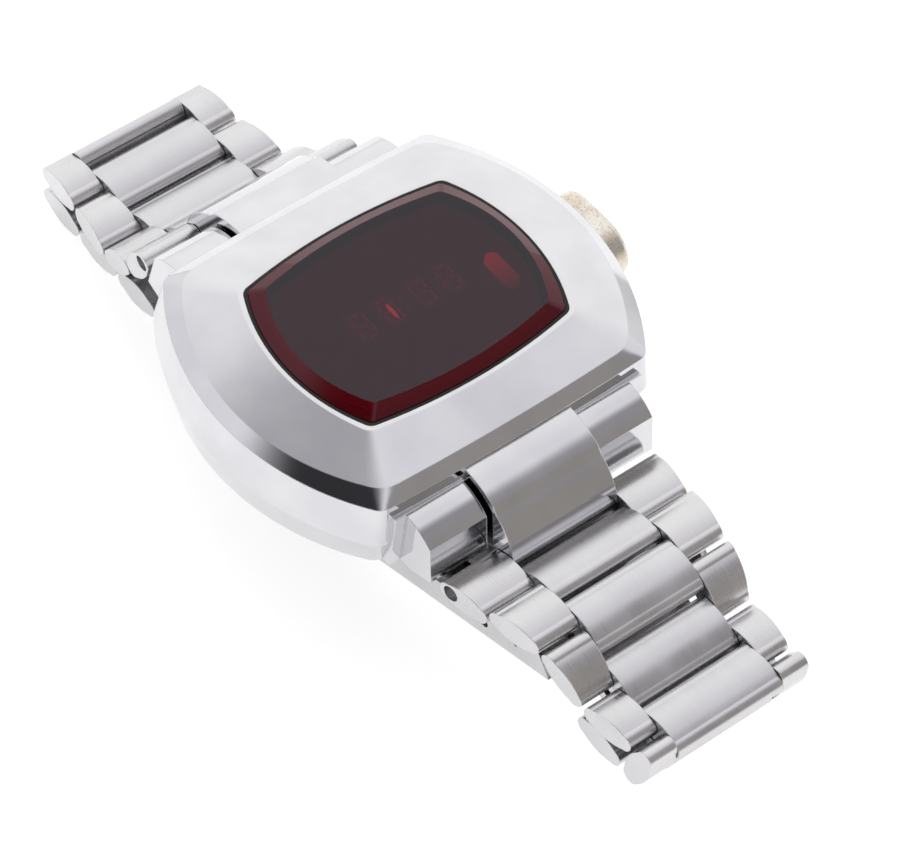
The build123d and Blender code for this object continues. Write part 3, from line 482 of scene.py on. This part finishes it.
def studio_world(power):
    """White tent, greyer towards the floor, with the patches that the steel and the glass mirror."""
    world = bpy.data.worlds.new("light tent")
    world.use_nodes = True
    tree = world.node_tree
    tree.nodes.clear()
    place = add(tree, "ShaderNodeTexCoord")
    split = add(tree, "ShaderNodeSeparateXYZ", {"Vector": place.outputs["Generated"]})
    height = add(tree, "ShaderNodeMapRange", {"Value": split.outputs["Z"], "From Min": 0.05, "From Max": 0.4})
    light = add(tree, "ShaderNodeMix", {"Factor": height, "A": "#BEBEBE", "B": "#E8E7EB"}, data_type="RGBA")
    for towards, inner, outer, colour in TENT_PATCHES:
        facing = add(tree, "ShaderNodeVectorMath", {0: place.outputs["Generated"],
                                                    1: Vector(towards).normalized()},
                     operation="DOT_PRODUCT")
        share = add(tree, "ShaderNodeMapRange", {"Value": facing.outputs["Value"],
                                                 "From Min": math.cos(math.radians(outer)),
                                                 "From Max": math.cos(math.radians(inner))},
                    interpolation_type="SMOOTHSTEP")
        light = add(tree, "ShaderNodeMix", {"Factor": share, "A": light, "B": colour}, data_type="RGBA")
    path = add(tree, "ShaderNodeLightPath")
    seen = add(tree, "ShaderNodeMix", {"Factor": path.outputs["Is Camera Ray"], "A": light, "B": "#FFFFFF"},
               data_type="RGBA")
    background = add(tree, "ShaderNodeBackground", {"Color": seen, "Strength": power})
    add(tree, "ShaderNodeOutputWorld", {"Surface": background})
    return world


class WATCH_OT_stage(bpy.types.Operator):
    """Adds the floor, the soft lights and the camera"""
    bl_idname = "watch.stage"
    bl_label = "Stage"
    bl_options = {"REGISTER", "UNDO"}

    def execute(self, context):
        settings = context.scene.watch_stage
        scene = context.scene
        ground = min(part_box(name)[0].z for name in SLOTS)
        bpy.ops.mesh.primitive_plane_add(size=settings.floor_size)
        floor = context.active_object
        floor.name = "floor"
        floor.data.transform(Matrix.Translation((0, 0, ground - settings.floor_gap * MM)))
        floor.data.materials.append(white_table(settings))
        scene.world = studio_world(settings.tent_power)
        softboxes = (("key softbox", settings.key_at, settings.key_size, settings.key_power),
                     ("side softbox", settings.side_at, settings.side_size, settings.side_power))
        for name, at, size, power in softboxes:
            bpy.ops.object.light_add(type="AREA", location=at)
            lamp = context.active_object
            lamp.name = name
            lamp.data.size = size
            lamp.data.energy = power
            lamp.rotation_euler = (-Vector(at)).to_track_quat("-Z", "Y").to_euler()
            # Only the tent is mirrored
            lamp.visible_glossy = False

        angles = (settings.azimuth, settings.elevation, settings.roll)
        azimuth, elevation, roll = (math.radians(angle) for angle in angles)
        back = Vector((math.sin(azimuth) * math.cos(elevation), -math.cos(azimuth) * math.cos(elevation),
                       math.sin(elevation)))
        right = Vector((math.cos(azimuth), math.sin(azimuth), 0))
        up = back.cross(right)
        rolled_right = math.cos(roll) * right + math.sin(roll) * up
        rolled_up = math.cos(roll) * up - math.sin(roll) * right
        bpy.ops.object.camera_add(location=settings.camera_at)
        camera = context.active_object
        camera.name = "camera"
        turn = Matrix((rolled_right, rolled_up, back)).transposed()
        camera.rotation_euler = turn.to_euler()
        camera.data.lens = settings.lens
        camera.data.sensor_width = 36.0
        camera.data.clip_start = 0.01
        scene.camera = camera
        scene.render.resolution_x, scene.render.resolution_y = PICTURE_SIZE
        scene.view_settings.view_transform = "Standard"
        return {"FINISHED"}


class WATCH_PT_panel(bpy.types.Panel):
    """Steps and settings of the watch"""
    bl_label = "Watch"
    bl_idname = "WATCH_PT_panel"
    bl_space_type = "VIEW_3D"
    bl_region_type = "UI"
    bl_category = "Watch"

    def draw(self, context):
        for operator in OPERATORS:
            self.layout.operator(operator.bl_idname)
        for name, group in GROUPS.items():
            for setting in group.__annotations__:
                self.layout.prop(getattr(context.scene, name), setting)


OPERATORS = (WATCH_OT_materials, WATCH_OT_digits, WATCH_OT_stage)
GROUPS = {"watch_finish": WatchFinish, "watch_stage": WatchStage, "watch_display": WatchDisplay}
CLASSES = (*GROUPS.values(), *OPERATORS, WATCH_PT_panel)


def register():
    for group in CLASSES:
        bpy.utils.register_class(group)
    for name, group in GROUPS.items():
        setattr(bpy.types.Scene, name, PointerProperty(type=group))


def unregister():
    for name in GROUPS:
        delattr(bpy.types.Scene, name)
    for group in reversed(CLASSES):
        bpy.utils.unregister_class(group)


def main():
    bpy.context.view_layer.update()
    register()
    bpy.ops.watch.materials()
    bpy.ops.watch.digits()
    bpy.ops.watch.stage()


if __name__ == "__main__":
    main()
